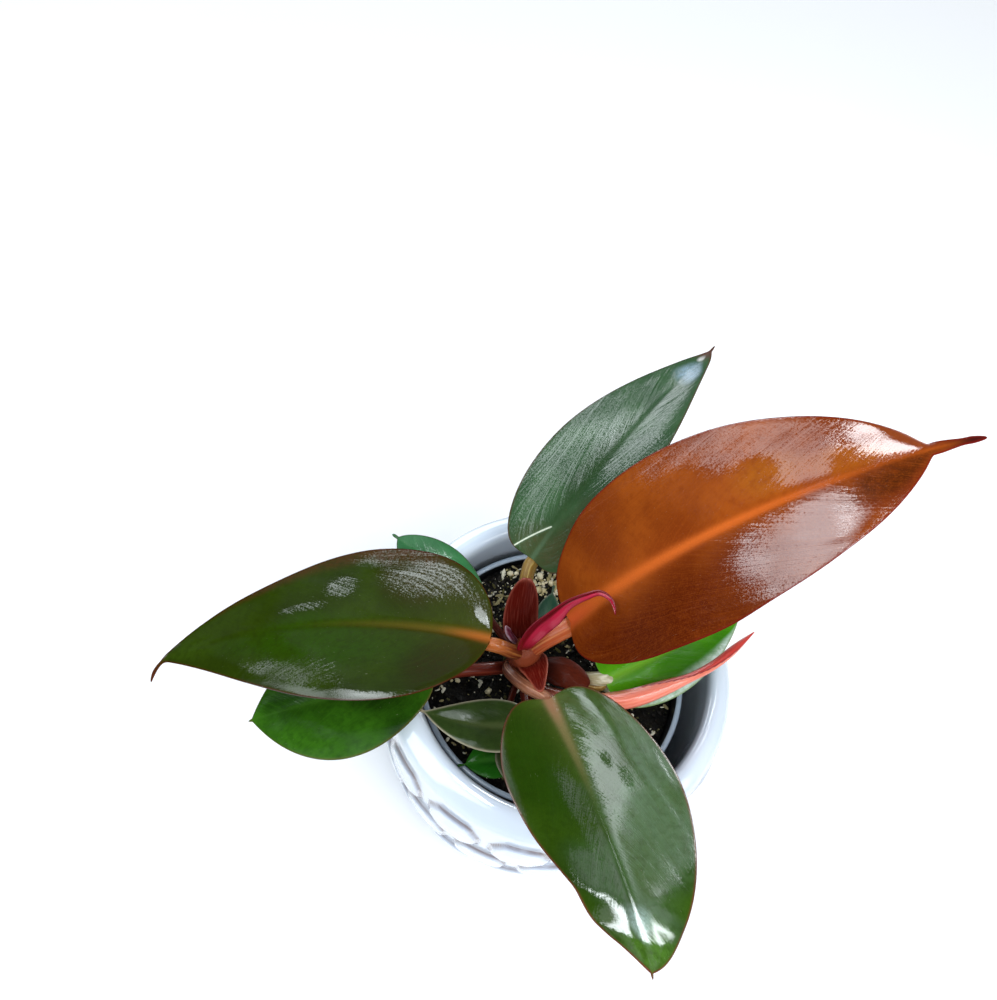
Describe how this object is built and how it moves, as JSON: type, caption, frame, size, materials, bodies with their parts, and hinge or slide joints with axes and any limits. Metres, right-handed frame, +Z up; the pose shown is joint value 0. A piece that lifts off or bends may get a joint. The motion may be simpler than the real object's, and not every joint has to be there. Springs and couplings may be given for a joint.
{
  "type": "potted foliage plant",
  "caption": "Self-heading foliage plant with broad glossy leaves and red sheaths, growing in a nursery pot that stands inside a glazed cover pot with staggered raised tiles.",
  "frame": {"origin": "centre of the cover pot's base, on the surface it stands on", "axes": "+Z up; the picture looks down on the plant from the -Y side"},
  "size_m": [0.2444, 0.2198, 0.2373],
  "materials": {
    "glaze": "gloss white glaze",
    "black_plastic": "satin black",
    "potting_soil": "matt",
    "stem_bark": "satin",
    "green_leaf": "waxy gloss",
    "dark_leaf": "waxy gloss",
    "copper_leaf": "waxy gloss",
    "red_sheath": "waxy gloss",
    "salmon_leaf": "waxy gloss"
  },
  "bodies": {
    "root": {"cachepot": "glaze", "nursery_pot": "black_plastic", "soil": "potting_soil", "stem": "stem_bark", "leaf_sun": "copper_leaf", "leaf_left": "green_leaf", "leaf_front": "green_leaf", "leaf_back": "green_leaf", "leaf_low_left": "green_leaf", "leaf_back_left": "green_leaf", "leaf_low_right": "green_leaf", "leaf_inner_front": "green_leaf", "leaf_inner_low": "green_leaf", "leaf_inner_dark": "dark_leaf", "leaf_inner_back": "green_leaf", "sheath_upright": "red_sheath", "sheath_crimson": "red_sheath", "sheath_front": "red_sheath", "sheath_broad": "red_sheath", "sheath_curl": "red_sheath", "furled_leaf": "salmon_leaf"}
  },
  "joints": []
}
